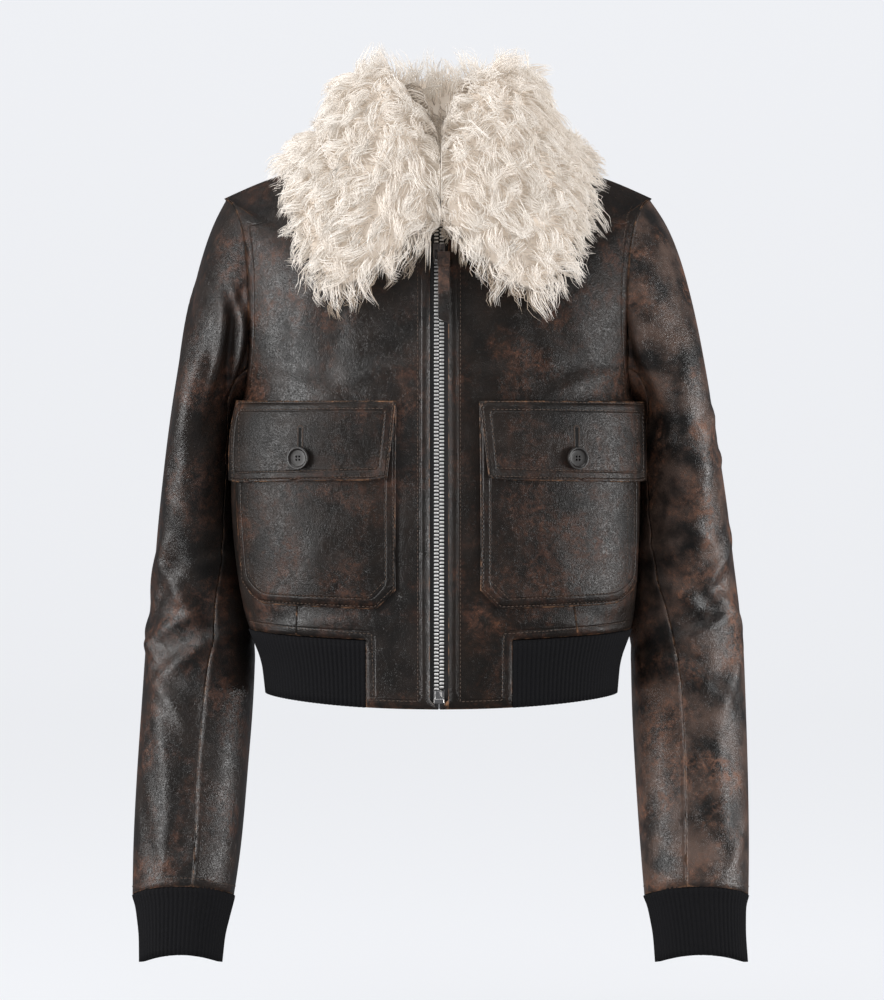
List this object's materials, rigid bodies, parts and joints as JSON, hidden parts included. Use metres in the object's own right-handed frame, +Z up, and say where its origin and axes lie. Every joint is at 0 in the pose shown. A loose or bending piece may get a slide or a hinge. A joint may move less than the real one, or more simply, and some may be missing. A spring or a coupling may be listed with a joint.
{
  "type": "leather jacket",
  "caption": "Cropped leather zip jacket with a fur collar, flapped patch pockets and rib-knit cuffs and waistband, filled out and empty, worn over the upper body.",
  "frame": {"origin": "middle of the neckline, level with where the shoulder seams meet the neck", "axes": "+Z up along the body, +X to the wearer's left, +Y from the front towards the back"},
  "size_m": [0.5409, 0.2445, 0.7879],
  "materials": {
    "leather": "soft creased grain, rubbed brown along edges and seams",
    "rib_knit": "dense rib knit",
    "fur": "long curly pile",
    "button": "satin",
    "zip_tape": "woven",
    "zip_metal": "polished, lightly worn"
  },
  "bodies": {
    "jacket": {"front_left": "leather", "front_right": "leather", "back": "leather", "sleeve_top_left": "leather", "sleeve_top_right": "leather", "sleeve_under_left": "leather", "sleeve_under_right": "leather", "cuff_left": "rib_knit", "cuff_right": "rib_knit", "waistband": "rib_knit", "collar": "fur", "pocket_left": "leather", "pocket_right": "leather", "flap_left": "leather", "flap_right": "leather", "button_left": "button", "button_right": "button", "zip_tape_left": "zip_tape", "zip_tape_right": "zip_tape", "zip_chain": "zip_metal", "zip_box": "zip_metal", "zip_slider": "zip_metal"},
    "zip_pull": {"zip_link": "zip_metal", "zip_strap": "leather"}
  },
  "joints": [
    {"name": "zip_pull_hinge", "type": "hinge", "parent": "jacket", "child": "zip_pull", "pos_m": [0.001, -0.10685, -0.0835], "axis": [-1, 0, 0], "range_deg": [0, 95]}
  ]
}
